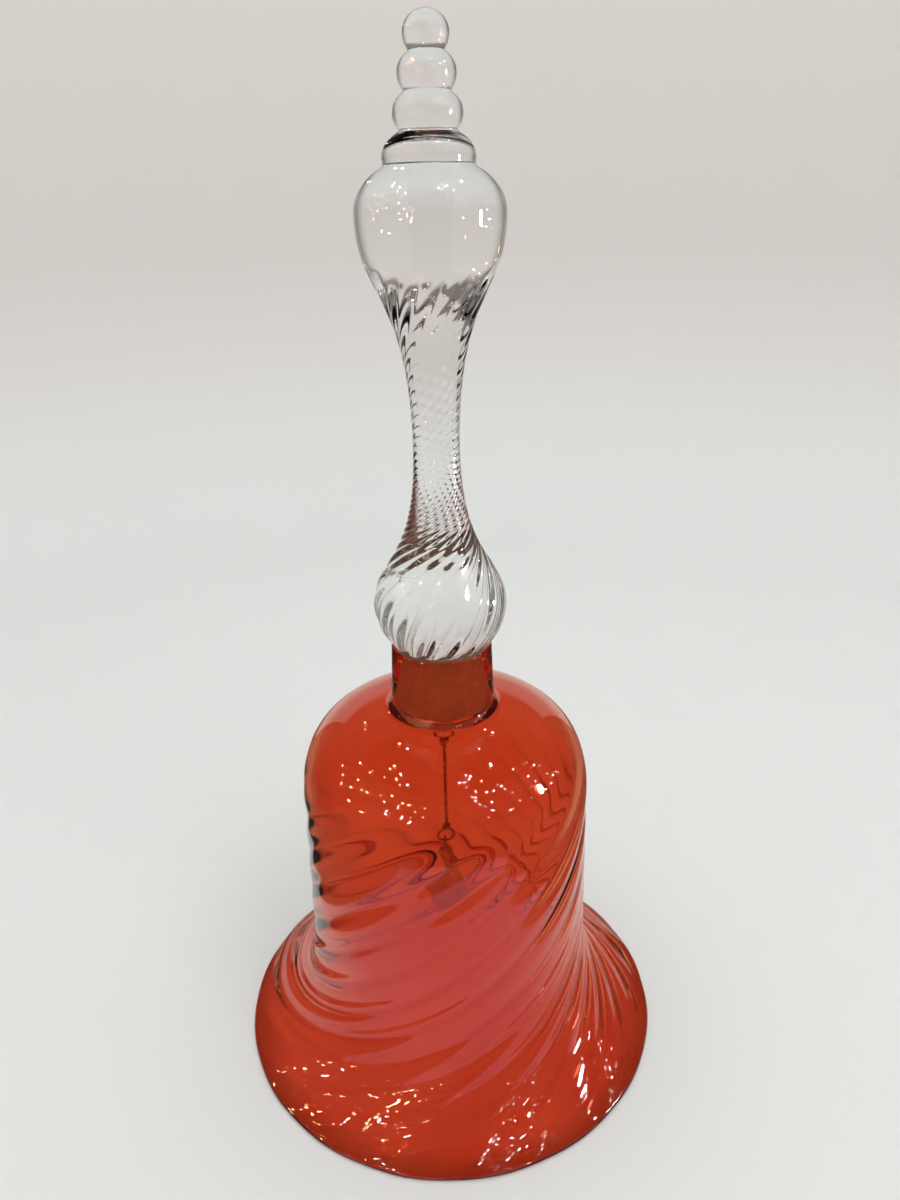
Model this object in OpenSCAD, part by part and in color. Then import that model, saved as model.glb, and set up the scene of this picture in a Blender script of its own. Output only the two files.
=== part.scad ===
// Glass hand bell: a blown shade with a thick neck, a solid handle bedded in the neck
// with plaster, and a glass drop that hangs inside on linked wires.
// Millimetres, +Z up. The origin is the centre of the mouth, on the surface it rests on.

/* [Shade] */
// Outer radius of the mouth
mouth_r = 76; // [62:1:92]
// Outer radius where the flare runs into the wall
waist_r = 49.9; // [42:0.1:58]
// Outer radius of the wall under the shoulder
wall_r = 49.2; // [42:0.1:58]
// Height of the flare
flare_h = 52; // [40:1:64]
// Angle of the flare at the lip, from the level
lip_lean = 26; // [20:1:40]
// How far the flare keeps the lip's angle
lip_run = 24; // [12:1:30]
// How far the flare stays upright below the waist
waist_run = 27; // [12:1:30]
// Height of the upright wall
wall_h = 47.6; // [38:0.1:58]
// Height of the shoulder
shoulder_h = 32; // [26:1:40]
// How far the shoulder stays upright above the wall
shoulder_run = 25.5; // [16:0.5:26]
// How far the crown runs level from the neck
crown_run = 12.4; // [8:0.1:16]
// Fall of the crown over that run
crown_fall = 1.5; // [0:0.1:3]
// Thickness of the blown glass
glass_t = 2.5; // [2:0.1:3.2]
// Depth ground off the lip to make it flat
lip_grind = 0.15; // [0.05:0.05:0.4]

/* [Neck] */
// Outer radius of the neck at its foot
neck_r = 17.2; // [15:0.1:20]
// Outer radius of the neck at its top
neck_top_r = 16.4; // [15:0.1:19]
// Height of the neck above the shoulder
neck_h = 22.4; // [18:0.1:27]
// Radius of the fillet at the foot of the neck
neck_fillet = 3; // [1:0.5:4]
// Radius of the neck's bore at its foot
bore_foot_r = 10.5; // [9.5:0.1:12]
// Radius of the neck's bore at its top
bore_top_r = 7.5; // [7.2:0.1:9]

/* [Handle] */
// Thickness of the plaster seam under the knop
seam_t = 1; // [0.5:0.1:2]
// Radius of the knop
knop_r = 21.3; // [18:0.1:25]
// Height of the knop's belly above its seat
knop_rise = 13.5; // [10:0.1:15]
// Depth that the knop's round under side would have if it were whole
knop_under = 20.5; // [18:0.1:25]
// How far the knop stays upright above its belly
knop_run = 13.5; // [8:0.1:18]
// Radius of the stem at its narrowest
stem_r = 7.1; // [6:0.1:9]
// Height of the narrowest point above the knop's belly
stem_rise = 50.7; // [42:0.1:60]
// How far the stem stays upright below its narrowest point
stem_low_run = 37; // [20:1:40]
// How far the stem stays upright above its narrowest point
stem_high_run = 44; // [30:1:46]
// Radius of the bulb
bulb_r = 20.9; // [17:0.1:25]
// Height of the bulb's belly above the stem's narrowest point
bulb_rise = 63.4; // [52:0.1:76]
// How far the bulb stays upright below its belly
bulb_run = 21.8; // [12:0.1:24]
// Height of the bulb's crown above its belly
bulb_crown = 14.7; // [13.8:0.1:18]
// Radii of the finial's beads, lowest first
bead_r = [12.7, 9.4, 7.8, 6.05]; // [5:0.05:14]
// Half heights of the finial's beads
bead_half = [7.8, 6.75, 6.35, 5.6]; // [5:0.05:9]
// Heights of the beads above the bulb's belly
bead_up = [13.7, 24, 33.1, 41.9]; // [12:0.1:44]

/* [Peg and plaster] */
// Radius of the handle's peg at the seat
peg_r = 6.8; // [5.8:0.1:7]
// Radius of the peg at its end
peg_end_r = 6.2; // [5:0.1:6.6]
// Length of the peg
peg_len = 12; // [8:0.5:13]
// How far the plaster stops inside the foot of the bore
plaster_inset = 1.5; // [0.5:0.5:3]
// How far the plaster seam lies inside the edge of the knop's seat
seam_inset = 0.4; // [0.2:0.1:1]

/* [Clapper] */
// Diameter of the staple's wire
staple_wire_d = 1.4; // [1.1:0.1:1.6]
// Diameter of the two link rings' wire
ring_wire_d = 1; // [0.8:0.1:1.2]
// Diameter of the hanging wire
rod_wire_d = 1.1; // [0.9:0.1:1.3]
// Diameter of the drop's bail wire
bail_wire_d = 1.1; // [0.9:0.1:1.3]
// Radius of the staple's bend, to the middle of its wire
staple_r = 3; // [2.8:0.1:3.6]
// Radius of the link rings, to the middle of their wire
ring_r = 3; // [2.8:0.1:3.6]
// Radius of the hanging wire's two eyes, to the middle of the wire
rod_eye_r = 3; // [2.8:0.1:3.6]
// Radius of the bail's eye, to the middle of the wire
bail_eye_r = 2.2; // [2.1:0.1:3]
// Running gap between two wires that hang on each other
link_gap = 0.15; // [0.1:0.05:0.25]
// Length of the hanging wire, from pivot to pivot
rod_len = 49; // [40:0.5:56]
// Length of the wire's wrapped tails beside each eye
wrap_len = 3; // [2:0.5:5]
// Depth of the staple's legs in the plaster
staple_bed = 6; // [4:0.5:8]
// Length of the staple's bent feet
staple_foot = 2.5; // [1.5:0.5:3]
// Drop of the staple's bend below the plaster
staple_drop = 1; // [0.5:0.5:3]
// Radius of the glass drop
drop_r = 7.5; // [6:0.1:9]
// Height of the drop's tip above the middle of its ball
drop_tip = 11; // [9.5:0.1:14]
// Radius of the drop's blunt tip
drop_tip_r = 2; // [1.5:0.1:2.6]
// Depth of the bail's shank in the drop
shank_bed = 7; // [4:0.5:8]
// Length of the bail's shank between the eye and the drop
shank_clear = 1; // [0.5:0.1:3]

/* [Hidden] */
$fn = 96;
STEPS = 24;
LIP_STEPS = 12;

// Levels of the shade and the handle
wall_top_z = flare_h + wall_h;
crown_z = wall_top_z + shoulder_h;
neck_top_z = crown_z + neck_h;
bore_foot_z = crown_z - glass_t;
seat_z = neck_top_z + seam_t;
knop_z = seat_z + knop_rise;
stem_z = knop_z + stem_rise;
bulb_z = stem_z + bulb_rise;
seat_r = knop_r * sqrt(1 - (knop_rise / knop_under) ^ 2);
plaster_z = bore_foot_z + plaster_inset;

// Pivots of the clapper, each at the middle of the wire that the next piece hangs on
staple_pivot_z = plaster_z - staple_drop - staple_r;
upper_ring_z = staple_pivot_z + hang(staple_wire_d, ring_wire_d) - ring_r;
upper_pivot_z = upper_ring_z - ring_r;
rod_top_eye_z = upper_pivot_z + hang(ring_wire_d, rod_wire_d) - rod_eye_r;
rod_pivot_z = upper_pivot_z - rod_len;
rod_low_eye_z = rod_pivot_z + rod_eye_r;
lower_ring_z = rod_pivot_z + hang(rod_wire_d, ring_wire_d) - ring_r;
lower_pivot_z = lower_ring_z - ring_r;
bail_eye_z = lower_pivot_z + hang(ring_wire_d, bail_wire_d) - bail_eye_r;
drop_tip_z = bail_eye_z - bail_eye_r - shank_clear;
drop_z = drop_tip_z - drop_tip;

// The lip is a round of half the glass thickness, ground flat on the mouth's level
lip_r = glass_t / 2;
lip_x = mouth_r - lip_r;
lip_z = lip_r - lip_grind;
flare_start = [lip_x + lip_r * sin(lip_lean), lip_z + lip_r * cos(lip_lean)];

// Distance between the middles of two wires that hang on each other
function hang(d1, d2) = (d1 + d2) / 2 + link_gap;

// A curve from a to d that leaves towards b and arrives from c
function curve(a, b, c, d) =
    [for (i = [0:STEPS]) let (t = i / STEPS)
        a * (1 - t) ^ 3 + b * 3 * t * (1 - t) ^ 2 + c * 3 * t ^ 2 * (1 - t) + d * t ^ 3];

// An arc of radius r about c, from angle a to angle b
function arc(c, r, a, b, n = STEPS) =
    [for (i = [0:n]) let (t = a + (b - a) * i / n) c + r * [cos(t), sin(t)]];

// A quarter of an ellipse about [0, z], from angle a to angle b
function ellipse_arc(z, rx, rz, a, b) =
    [for (i = [0:STEPS]) let (t = a + (b - a) * i / STEPS) [rx * cos(t), z + rz * sin(t)]];

// The points of a line moved t towards the axis, square to the line
function inward(p, t) =
    [for (i = [0:len(p) - 1])
        let (a = p[max(i - 1, 0)], b = p[min(i + 1, len(p) - 1)], n = (b - a) / norm(b - a))
            p[i] + t * [-n.y, n.x]];

// Radius of the neck's bore at height z
function bore_r(z) =
    bore_foot_r + (bore_top_r - bore_foot_r) * (z - bore_foot_z) / (neck_top_z - bore_foot_z);

// Outline of the shade: lip, flare, wall and shoulder, then the fillet into the neck
flare_line = curve(flare_start,
                   flare_start + lip_run * [-cos(lip_lean), sin(lip_lean)],
                   [waist_r, flare_h - waist_run],
                   [waist_r, flare_h]);
shoulder_line = curve([wall_r, wall_top_z],
                      [wall_r, wall_top_z + shoulder_run],
                      [neck_r + neck_fillet + crown_run, crown_z - crown_fall],
                      [neck_r + neck_fillet, crown_z]);
shade_line = concat(flare_line, shoulder_line);
inner_line = inward(shade_line, glass_t);
lip_line = arc([lip_x, lip_z], lip_r, -90 - lip_lean, 90 - lip_lean, LIP_STEPS);
fillet_line = arc([neck_r + neck_fillet, crown_z + neck_fillet], neck_fillet, 270, 180, LIP_STEPS);

// A polygon's points in the order last to first, without the first one
function back(p) = [for (i = [len(p) - 1:-1:1]) p[i]];

// A closed ring of wire about the Y axis
module wire_ring(r, d) {
    rotate([90, 0, 0])
    rotate_extrude()
    translate([r, 0])
    circle(d = d);
}

// An eye of wire at height z, with its tail wrapped round the straight wire above or below it
module wire_eye(z, r, d, side) {
    translate([0, 0, z])
    wire_ring(r, d);
    translate([0, 0, z + side * (r + wrap_len / 2)])
    cylinder(d = 3 * d, h = wrap_len, center = true);
}

// The blown shade: neck, shoulder, wall and flare in one, with the neck's bore through it
module bell_shade() {
    color([0.75, 0.12, 0.06, 0.6])
    rotate_extrude()
    intersection() {
        polygon(concat(
            lip_line,
            shade_line,
            fillet_line,
            [[neck_top_r, neck_top_z], [bore_top_r, neck_top_z], [bore_foot_r, bore_foot_z]],
            back(inner_line)
        ));
        square([mouth_r + glass_t, neck_top_z]);
    }
}

// The solid handle: peg, knop, stem, bulb and a finial of beads
module handle() {
    color([0.88, 0.9, 0.9, 0.5])
    rotate_extrude()
    union() {
        polygon(concat(
            [[0, seat_z - peg_len], [peg_end_r, seat_z - peg_len], [peg_r, seat_z]],
            ellipse_arc(knop_z, knop_r, knop_under, -asin(knop_rise / knop_under), 0),
            curve([knop_r, knop_z],
                  [knop_r, knop_z + knop_run],
                  [stem_r, stem_z - stem_low_run],
                  [stem_r, stem_z]),
            curve([stem_r, stem_z],
                  [stem_r, stem_z + stem_high_run],
                  [bulb_r, bulb_z - bulb_run],
                  [bulb_r, bulb_z]),
            ellipse_arc(bulb_z, bulb_r, bulb_crown, 0, 90)
        ));
        for (i = [0:len(bead_r) - 1])
            polygon(ellipse_arc(bulb_z + bead_up[i], bead_r[i], bead_half[i], -90, 90));
    }
}

// The wire staple's whole shape, which the plaster is cast round
module staple_shape() {
    bend_z = staple_pivot_z + staple_r;
    foot_z = plaster_z + staple_bed;
    translate([0, 0, bend_z])
    rotate([-90, 0, 0])
    rotate_extrude(angle = 180)
    translate([staple_r, 0])
    circle(d = staple_wire_d);
    for (side = [-1, 1])
        translate([side * staple_r, 0, 0]) {
            translate([0, 0, bend_z])
            cylinder(d = staple_wire_d, h = foot_z - bend_z);
            translate([0, 0, foot_z])
            sphere(d = staple_wire_d);
            translate([0, 0, foot_z])
            rotate([0, side * 90, 0])
            cylinder(d = staple_wire_d, h = staple_foot);
        }
}

// Plaster that fills the bore round the peg and beds the knop on the neck
module neck_plaster() {
    color([0.62, 0.56, 0.5])
    difference() {
        rotate_extrude()
        polygon([
            [0, plaster_z],
            [bore_r(plaster_z), plaster_z],
            [bore_top_r, neck_top_z],
            [seat_r - seam_inset, neck_top_z],
            [seat_r - seam_inset, seat_z],
            [peg_r, seat_z],
            [peg_end_r, seat_z - peg_len],
            [0, seat_z - peg_len]
        ]);
        staple_shape();
    }
}

// The staple that the clapper hangs from
module clapper_staple() {
    color([0.45, 0.43, 0.4])
    staple_shape();
}

// The ring between the staple and the hanging wire
module upper_ring() {
    color([0.5, 0.48, 0.45])
    translate([0, 0, upper_ring_z])
    rotate([0, 0, 90])
    wire_ring(ring_r, ring_wire_d);
}

// The hanging wire, with an eye wrapped at each end
module clapper_wire() {
    color([0.5, 0.48, 0.45]) {
        wire_eye(rod_top_eye_z, rod_eye_r, rod_wire_d, -1);
        wire_eye(rod_low_eye_z, rod_eye_r, rod_wire_d, 1);
        translate([0, 0, rod_low_eye_z + rod_eye_r])
        cylinder(d = rod_wire_d, h = rod_top_eye_z - rod_low_eye_z - 2 * rod_eye_r);
    }
}

// The ring between the hanging wire and the drop
module lower_ring() {
    color([0.5, 0.48, 0.45])
    translate([0, 0, lower_ring_z])
    rotate([0, 0, 90])
    wire_ring(ring_r, ring_wire_d);
}

// The bail: an eye on a shank that is set in the drop
module drop_bail() {
    shank_z = drop_tip_z - shank_bed;
    color([0.5, 0.48, 0.45]) {
        translate([0, 0, bail_eye_z])
        wire_ring(bail_eye_r, bail_wire_d);
        translate([0, 0, shank_z])
        cylinder(d = bail_wire_d, h = bail_eye_z - bail_eye_r - shank_z);
    }
}

// The glass drop that strikes the wall: a ball drawn up to a blunt tip
module clapper_drop() {
    tip_z = drop_tip_z - drop_tip_r;
    side = asin((drop_r - drop_tip_r) / (tip_z - drop_z));
    color([0.95, 0.6, 0.3, 0.7])
    difference() {
        rotate_extrude()
        polygon(concat(
            arc([0, drop_z], drop_r, -90, side),
            arc([0, tip_z], drop_tip_r, side, 90)
        ));
        translate([0, 0, drop_tip_z - shank_bed])
        cylinder(d = bail_wire_d, h = shank_bed + drop_tip_r);
    }
}

bell_shade();
handle();
neck_plaster();
clapper_staple();
upper_ring();
clapper_wire();
lower_ring();
drop_bail();
clapper_drop();
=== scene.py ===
"""Looks of the glass bell: a ribbed ruby shade, a twisted clear handle bedded in plaster, and a
glass drop on linked wires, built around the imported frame."""

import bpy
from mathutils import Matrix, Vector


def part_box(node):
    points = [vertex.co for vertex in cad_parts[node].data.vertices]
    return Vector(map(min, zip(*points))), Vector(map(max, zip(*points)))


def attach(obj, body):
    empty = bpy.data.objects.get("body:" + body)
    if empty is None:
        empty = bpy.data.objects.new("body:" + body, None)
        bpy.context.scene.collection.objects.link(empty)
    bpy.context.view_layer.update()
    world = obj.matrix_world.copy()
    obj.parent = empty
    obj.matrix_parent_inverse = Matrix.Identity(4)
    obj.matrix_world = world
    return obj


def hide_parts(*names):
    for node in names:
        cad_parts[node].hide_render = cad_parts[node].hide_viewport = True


bl_info = {
    "name": "Glass Bell",
    "version": (1, 0, 0),
    "blender": (4, 5, 0),
    "location": "3D View > Sidebar > Glass Bell",
    "description": "Builds the shade, handle, clapper and stage of a ribbed glass bell",
    "category": "Add Mesh",
}

import math
import random

import bmesh
import bpy
from bpy.props import FloatProperty, FloatVectorProperty, IntProperty, PointerProperty
from mathutils import Matrix, Vector

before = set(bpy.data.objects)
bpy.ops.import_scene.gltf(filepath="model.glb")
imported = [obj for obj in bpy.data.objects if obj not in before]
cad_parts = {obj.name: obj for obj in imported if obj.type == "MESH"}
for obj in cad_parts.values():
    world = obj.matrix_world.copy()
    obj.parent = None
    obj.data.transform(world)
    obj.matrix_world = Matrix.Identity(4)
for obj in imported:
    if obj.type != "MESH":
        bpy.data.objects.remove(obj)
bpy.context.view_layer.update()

MM = 0.001
SHADE_LOW, SHADE_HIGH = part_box("bell_shade")
HANDLE_LOW, HANDLE_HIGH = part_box("handle")
DROP_LOW, DROP_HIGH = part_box("clapper_drop")
UPPER_LOW, UPPER_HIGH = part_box("upper_ring")
LOWER_LOW, LOWER_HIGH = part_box("lower_ring")
WIRE_LOW, WIRE_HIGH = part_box("clapper_wire")
BAIL_LOW, BAIL_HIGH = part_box("drop_bail")


# ---------------------------------------------------------------- sizes and colours

def length(name, description, millimetres):
    """A length property, kept in metres."""
    return FloatProperty(name=name, description=description, default=millimetres * MM,
                         min=0.0, precision=5, unit="LENGTH")


def angle(name, description, degrees):
    """An angle property, kept in radians."""
    return FloatProperty(name=name, description=description,
                         default=math.radians(degrees), subtype="ANGLE")


def factor(name, description, value, low=0.0, high=1.0):
    """A plain number between two ends."""
    return FloatProperty(name=name, description=description, default=value, min=low, max=high,
                         precision=3)


def colour(name, description, rgb):
    """A linear colour property."""
    return FloatVectorProperty(name=name, description=description, default=rgb, size=3,
                               min=0.0, max=1.0, subtype="COLOR")


class ShadeSizes(bpy.types.PropertyGroup):
    """Sizes of the blown shade."""

    waist_radius: length("Waist radius", "Outer radius where the flare meets the wall", 49.9)
    wall_radius: length("Wall radius", "Outer radius of the wall under the shoulder", 49.2)
    flare_height: length("Flare height", "Height of the flare", 52)
    lip_lean: angle("Lip lean", "Angle of the flare at the lip, from the level", 26)
    lip_run: length("Lip run", "How far the flare keeps the lip's angle", 24)
    waist_run: length("Waist run", "How far the flare stays upright below the waist", 27)
    wall_height: length("Wall height", "Height of the upright wall", 47.6)
    shoulder_height: length("Shoulder height", "Height of the shoulder", 32)
    shoulder_run: length("Shoulder run", "How far the shoulder stays upright", 25.5)
    crown_run: length("Crown run", "How far the crown runs level from the neck", 12.4)
    crown_fall: length("Crown fall", "Fall of the crown over that run", 1.5)
    thickness: length("Thickness", "Thickness of the blown glass", 2.5)
    lip_grind: length("Lip grind", "Depth ground off the lip", 0.15)
    neck_radius: length("Neck radius", "Outer radius of the neck at its foot", 17.2)
    neck_top_radius: length("Neck top radius", "Outer radius of the neck at its top", 16.4)
    neck_fillet: length("Neck fillet", "Radius of the fillet at the foot of the neck", 3)
    bore_foot: length("Bore foot", "Radius of the bore at its foot", 10.45)
    bore_top: length("Bore top", "Radius of the bore at its top", 7.45)
    bed: length("Bed", "How far the glass is let into the plaster", 0.04)
    ribs: IntProperty(name="Ribs", description="Number of ribs round the shade", default=16,
                      min=3)
    wall_rib: length("Wall rib depth", "Depth of the grooves on the wall", 0.45)
    flare_rib: length("Flare rib depth", "Depth of the grooves on the flare", 0.8)
    inner_rib: factor("Inner ribs", "Depth of the inside grooves, as a share of the outside", 0.6)
    wall_twist: FloatProperty(name="Wall twist", description="Turn of the ribs per metre of wall",
                              default=math.radians(1550))
    flare_twist: FloatProperty(name="Flare twist",
                               description="Turn of the ribs per metre of flare",
                               default=math.radians(2300))
    columns: IntProperty(name="Columns", description="Mesh columns for each rib", default=14,
                         min=6)


class HandleSizes(bpy.types.PropertyGroup):
    """Sizes of the solid handle."""

    peg_length: length("Peg length", "Length of the peg", 12)
    peg_radius: length("Peg radius", "Radius of the peg at the seat", 6.85)
    peg_end_radius: length("Peg end radius", "Radius of the peg at its end", 6.25)
    knop_rise: length("Knop rise", "Height of the knop's belly above its seat", 13.5)
    knop_under: length("Knop underside", "Depth of the knop's whole under side", 20.5)
    knop_radius: length("Knop radius", "Radius of the knop", 21.3)
    knop_run: length("Knop run", "How far the knop stays upright above its belly", 13.5)
    stem_radius: length("Stem radius", "Radius of the stem at its narrowest", 7.1)
    stem_rise: length("Stem rise", "Height of the narrowest point above the knop", 50.7)
    stem_low_run: length("Lower stem run", "How far the stem stays upright downwards", 37)
    stem_high_run: length("Upper stem run", "How far the stem stays upright upwards", 44)
    bulb_radius: length("Bulb radius", "Radius of the bulb", 20.9)
    bulb_rise: length("Bulb rise", "Height of the bulb's belly above the stem", 63.4)
    bulb_run: length("Bulb run", "How far the bulb stays upright below its belly", 21.8)
    bulb_crown: length("Bulb crown", "Height of the bulb's crown above its belly", 14.7)
    bead_radii: FloatVectorProperty(name="Bead radii", description="Radii of the beads",
                                    default=(0.0127, 0.0094, 0.0078, 0.00605), size=4,
                                    precision=5, unit="LENGTH")
    bead_halves: FloatVectorProperty(name="Bead half heights",
                                     description="Half heights of the beads",
                                     default=(0.0078, 0.00675, 0.00635, 0.0056), size=4,
                                     precision=5, unit="LENGTH")
    bead_rises: FloatVectorProperty(name="Bead rises",
                                    description="Heights of the beads above the bulb's belly",
                                    default=(0.0137, 0.024, 0.0331, 0.0419), size=4,
                                    precision=5, unit="LENGTH")
    pinch: factor("Pinch", "Sharpness of the grooves between the beads", 30, 4, 80)
    ribs: IntProperty(name="Ribs", description="Number of ribs round the handle", default=16,
                      min=3)
    knop_rib: length("Knop rib depth", "Depth of the grooves on the knop", 0.8)
    stem_rib: length("Stem rib depth", "Depth of the grooves on the stem", 0.14)
    bulb_rib: length("Bulb rib depth", "Depth of the grooves under the bulb", 0.6)
    rib_top: length("Rib top", "Height above the stem's narrowest point where the ribs end", 52)
    rib_fade: length("Rib fade", "Height over which the ribs fade out", 7)
    columns: IntProperty(name="Columns", description="Mesh columns for each rib", default=12,
                         min=6)


class ClapperSizes(bpy.types.PropertyGroup):
    """Sizes of the wires and the drop."""

    ring_wire: length("Ring wire", "Diameter of the link rings' wire", 1.0)
    rod_wire: length("Hanging wire", "Diameter of the hanging wire", 1.1)
    bail_wire: length("Bail wire", "Diameter of the bail's wire", 1.1)
    eye_radius: length("Eye radius", "Radius of the hanging wire's eyes", 3)
    bail_radius: length("Bail radius", "Radius of the bail's eye", 2.2)
    wrap_length: length("Wrap length", "Length of each wrapped tail", 3)
    wrap_turns: factor("Wrap turns", "Turns in each wrapped tail", 1.7, 0.5, 6)
    drop_tip_radius: length("Drop tip radius", "Radius of the drop's blunt tip", 2)


class Finishes(bpy.types.PropertyGroup):
    """Colours of the glass, the plaster and the wire."""

    ruby: colour("Ruby", "Tint of the ruby glass", (0.86, 0.28, 0.16))
    ruby_deep: colour("Deep ruby", "Tint where the ruby colour is deeper", (0.81, 0.235, 0.125))
    clear: colour("Clear", "Tint of the clear glass", (0.985, 0.985, 0.982))
    clear_deep: colour("Clear streaks", "Tint of the streaks in the clear glass",
                       (0.965, 0.965, 0.965))
    drop: colour("Drop", "Tint of the drop's glass", (0.98, 0.93, 0.86))
    plaster: colour("Plaster", "Colour of the plaster", (0.95, 0.8, 0.62))
    # Painted shade and dirt: the plaster turns this dark brown at its top, in the recessed seam
    # under the knop.
    plaster_dirt_and_shade: colour("Dirty plaster", "Colour of the plaster where dirt has settled",
                         (0.13, 0.075, 0.045))
    wire: colour("Wire", "Colour of the wire", (0.72, 0.66, 0.56))
    tarnish: colour("Tarnish", "Colour of the tarnish on the wire", (0.42, 0.3, 0.2))


class StageSizes(bpy.types.PropertyGroup):
    """Floor, backdrop and lights."""

    radius: length("Floor radius", "Distance from the bell to the backdrop", 780)
    height: length("Backdrop height", "Height of the backdrop", 1000)
    sweep: length("Sweep", "Radius of the curve from floor to backdrop", 260)
    sheet_half_width: length("Sheet half width", "Half width of the pale sheet that gloss shows",
                             112)
    sheet_front: length("Sheet front", "Reach of that sheet in front of the bell", 176)
    paper: colour("Floor", "Colour of the floor", (0.755, 0.79, 0.795))
    backdrop: colour("Backdrop", "Colour of the backdrop", (0.725, 0.7, 0.685))
    # Painted reflection: the glass shows the sheet before the bell in this darker pink, as shade
    # and red light on it.
    front: colour("Front sheet", "Colour in which gloss shows the sheet before the bell",
                  (0.85, 0.52, 0.74))
    # Painted light: the floor inside the bell's mouth glows in this colour, standing in for the
    # light that the ruby glass lets through.
    painted_glow: colour("Glow", "Light that the ruby glass lets through to the floor in the bell",
                 (0.26, 0.06, 0.05))
    room: colour("Room", "Colour in which the glass shows the room above and before it",
                 (0.22, 0.195, 0.18))
    wood: colour("Flags", "Colour of the dark flags that only gloss shows",
                 (0.075, 0.052, 0.042))
    wings: colour("Wings", "Colour of the side flags that bent light shows",
                  (0.17, 0.145, 0.13))
    dome: factor("Dome", "Strength of the soft light from above", 1.4, 0.0, 10.0)
    key: factor("Key", "Power of the large soft lamp, in watts", 1.8, 0.0, 100.0)
    lamps: IntProperty(name="Lamps", description="Small round lamps on each side", default=44,
                       min=0)
    lamp_power: factor("Lamp brightness", "Brightness of the small lamps", 170.0, 0.0, 400.0)
    seed: IntProperty(name="Seed", description="Seed of the lamps' places", default=7)


# ---------------------------------------------------------------- outlines

def bezier(a, b, c, d, steps):
    """Points of a curve that leaves a towards b and arrives at d from c."""
    points = []
    for i in range(steps + 1):
        t = i / steps
        points.append(a * (1 - t) ** 3 + b * 3 * t * (1 - t) ** 2 + c * 3 * t * t * (1 - t)
                      + d * t ** 3)
    return points


def arc(centre, radius, start, end, steps):
    """Points of an arc, with its angles in degrees."""
    turns = [math.radians(start + (end - start) * i / steps) for i in range(steps + 1)]
    return [centre + radius * Vector((math.cos(t), math.sin(t))) for t in turns]


def straight(a, b, steps):
    """Points along a straight line, without its ends."""
    return [a.lerp(b, i / steps) for i in range(1, steps)]


def normals(points, closed):
    """Normal of an outline at each of its points, to the right of the way it runs."""
    count = len(points)
    found = []
    for i in range(count):
        before = points[i - 1] if closed or i else points[0]
        after = points[(i + 1) % count] if closed or i < count - 1 else points[-1]
        run = (after - before).normalized()
        found.append(Vector((run.y, -run.x)))
    return found


def smooth(x, low, high):
    """0 below low, 1 above high and a soft step between them."""
    t = min(max((x - low) / (high - low), 0.0), 1.0)
    return t * t * (3 - 2 * t)


def turn_along(points, rate):
    """Twist at each point of an outline, added up from a rate per metre at each place."""
    turns = [0.0]
    for a, b in zip(points, points[1:]):
        turns.append(turns[-1] + (b - a).length * rate((a + b) / 2))
    return turns


# ---------------------------------------------------------------- mesh helpers

def groove(turn, count, sharp):
    """0 on the crest of a rib and 1 in the groove beside it."""
    wave = math.sin(turn * count / 2)
    return 1 - (math.sqrt(wave * wave + sharp * sharp) - sharp) / (math.sqrt(1 + sharp * sharp)
                                                                   - sharp)


def chain(bm, points, closed, depths, turns, outward):
    """Adds an outline in the XZ plane, with what each row needs to be ribbed and twisted."""
    layers = [bm.verts.layers.float.new(n) for n in ("depth", "turn", "out_r", "out_z")]
    verts = []
    for p, depth, turn, n in zip(points, depths, turns, outward):
        v = bm.verts.new((p.x, 0, p.y))
        for layer, value in zip(layers, (depth, turn, n.x, n.y)):
            v[layer] = value
        verts.append(v)
    edges = [bm.edges.new(pair) for pair in zip(verts, verts[1:])]
    if closed:
        edges.append(bm.edges.new((verts[-1], verts[0])))
    return verts + edges


def lathe(bm, geometry, steps):
    """Spins an outline once round the bell's axis and closes the seam and the poles."""
    bmesh.ops.spin(bm, geom=geometry, cent=(0, 0, 0), axis=(0, 0, 1), dvec=(0, 0, 0),
                   angle=math.tau, steps=steps, use_merge=True, use_normal_flip=False,
                   use_duplicate=False)
    bmesh.ops.remove_doubles(bm, verts=bm.verts[:], dist=1e-7)
    bmesh.ops.recalc_face_normals(bm, faces=bm.faces[:])


def rib(bm, count, sharp, uneven):
    """Presses the grooves into a spun mesh and twists its rows."""
    depth, turn, out_r, out_z = [bm.verts.layers.float[n]
                                 for n in ("depth", "turn", "out_r", "out_z")]
    for v in bm.verts:
        around = math.atan2(v.co.y, v.co.x)
        radius = math.hypot(v.co.x, v.co.y)
        if radius < 1e-6:
            continue
        deep = v[depth] * groove(around, count, sharp)
        deep *= 1 + uneven * math.sin(3 * around + 1.3) + uneven * math.sin(5 * around + 0.4)
        radius -= deep * v[out_r]
        height = v.co.z - deep * v[out_z]
        place = around + v[turn]
        v.co = (radius * math.cos(place), radius * math.sin(place), height)


def wire_circle(bm, radius, place, turned, sides=14):
    """A ring of vertices to sweep a wire from."""
    made = bmesh.ops.create_circle(bm, cap_ends=False, segments=sides, radius=radius,
                                   matrix=Matrix.Translation(place) @ turned)
    verts = made["verts"]
    return verts + list({e for v in verts for e in v.link_edges})


def wire_ring(bm, middle, radius, wire, across):
    """A closed ring of wire: across is the axis that it goes round."""
    side = Vector((1, 0, 0)) if across.y else Vector((0, 1, 0))
    turned = side.cross(across).to_track_quat("Z", "Y").to_matrix().to_4x4()
    circle = wire_circle(bm, wire / 2, middle + side * radius, turned)
    bmesh.ops.spin(bm, geom=circle, cent=middle, axis=across, dvec=(0, 0, 0), angle=math.tau,
                   steps=64, use_merge=True, use_normal_flip=False, use_duplicate=False)


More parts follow.
